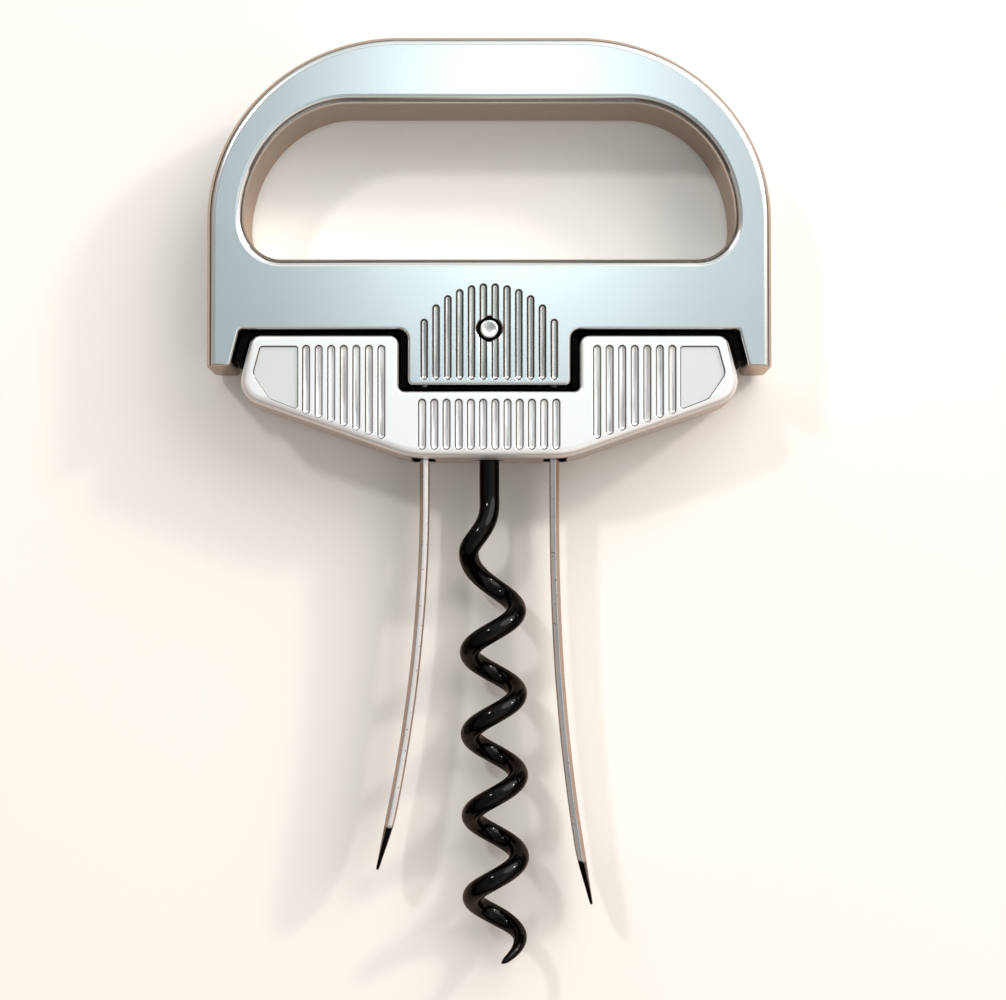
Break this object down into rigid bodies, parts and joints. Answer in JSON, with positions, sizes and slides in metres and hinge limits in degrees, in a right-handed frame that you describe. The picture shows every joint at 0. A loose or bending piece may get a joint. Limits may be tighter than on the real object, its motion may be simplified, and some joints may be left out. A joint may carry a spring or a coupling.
{
  "type": "cork puller",
  "caption": "Two-part cork puller for old corks: a D-shaped handle with two flared spring blades, and a ribbed bar with a worm that slides off it.",
  "frame": {"origin": "middle of the footprint, on the surface that the puller lies on, on its back", "axes": "+X to the right with the front up; +Y from the worm's tip to the top of the handle; +Z out of the front face"},
  "size_m": [0.084, 0.1383, 0.015],
  "materials": {
    "cast_handle": "satin, pearl-like",
    "cast_bar": "satin, pearl-like",
    "blade_steel": "ground spring steel",
    "bright_steel": "bright",
    "black_coating": "glossy non-stick coating on steel",
    "black_nylon": "moulded"
  },
  "bodies": {
    "handle": {"handle_frame": "cast_handle", "seat_liner_left": "black_nylon", "seat_liner_right": "black_nylon", "blade_carrier": "black_nylon", "blade_pin_left": "bright_steel", "blade_pin_right": "bright_steel", "carrier_screw_left": "bright_steel", "carrier_screw_right": "bright_steel", "catch_spring": "bright_steel", "catch_plug": "bright_steel"},
    "short_blade": {"short_blade": "blade_steel"},
    "long_blade": {"long_blade": "blade_steel"},
    "catch": {"catch_button": "bright_steel"},
    "bar": {"stabilizer_bar": "cast_bar", "worm": "black_coating", "worm_head": "bright_steel", "worm_pin": "bright_steel", "blade_guide_left": "black_nylon", "blade_guide_right": "black_nylon", "guide_pin_left": "bright_steel", "guide_pin_right": "bright_steel"}
  },
  "joints": [
    {"name": "bar_slide", "type": "slide", "parent": "handle", "child": "bar", "axis": [0, -1, 0], "range_m": [0, 0.095]},
    {"name": "short_blade_flex", "type": "hinge", "parent": "handle", "child": "short_blade", "pos_m": [-0.0087, 0.022, 0.0075], "axis": [0, 0, 1], "range_deg": [0, 7.2]},
    {"name": "long_blade_flex", "type": "hinge", "parent": "handle", "child": "long_blade", "pos_m": [0.0087, 0.022, 0.0075], "axis": [0, 0, -1], "range_deg": [0, 5]},
    {"name": "catch_press", "type": "slide", "parent": "handle", "child": "catch", "axis": [0, 0, -1], "range_m": [0, 0.0013], "stiffness_N_per_m": 900, "springref_m": -0.001, "deforming": ["catch_spring"]}
  ],
  "couplings": [
    {"joint": "short_blade_flex", "follows": "bar_slide", "rad_per_m": 1.3},
    {"joint": "long_blade_flex", "follows": "bar_slide", "rad_per_m": 0.9}
  ]
}
